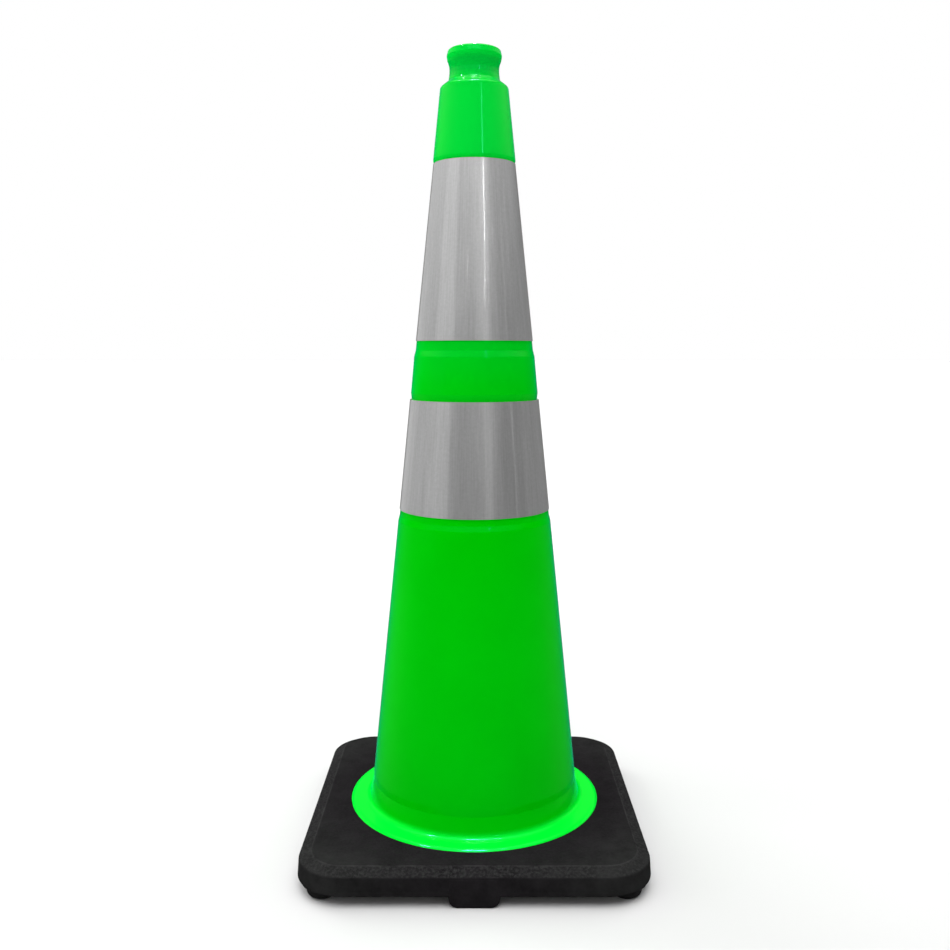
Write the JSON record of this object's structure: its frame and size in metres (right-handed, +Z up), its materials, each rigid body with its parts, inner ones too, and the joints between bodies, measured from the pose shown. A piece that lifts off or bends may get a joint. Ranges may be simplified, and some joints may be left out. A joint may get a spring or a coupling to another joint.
{
  "type": "traffic cone",
  "caption": "Tall slim safety cone: flexible sleeve with ringed neck and open top, two recessed reflective collars, and a square bevelled base on corner and side feet.",
  "frame": {"origin": "centre of the plane of the feet's soles, on the cone's axis", "axes": "+Z up along the cone's axis; -Y is the front; the collars' lap seams are at +Y"},
  "size_m": [0.3008, 0.3008, 0.7112],
  "materials": {
    "base_rubber": "black recycled PVC compound, moulded, matt with a fine grain on the bevel",
    "sleeve_pvc": "fluorescent lime flexible PVC, moulded, semi-gloss",
    "collar_backing": "white vinyl sheet",
    "reflective_film": "silver-grey retroreflective film under a glossy clear face",
    "seam_tape": "clear double-sided adhesive"
  },
  "bodies": {
    "root": {"base": "base_rubber", "cone_sleeve": "sleeve_pvc", "upper_collar_backing": "collar_backing", "upper_collar_film": "reflective_film", "upper_collar_seam_tape": "seam_tape", "lower_collar_backing": "collar_backing", "lower_collar_film": "reflective_film", "lower_collar_seam_tape": "seam_tape"}
  },
  "joints": []
}
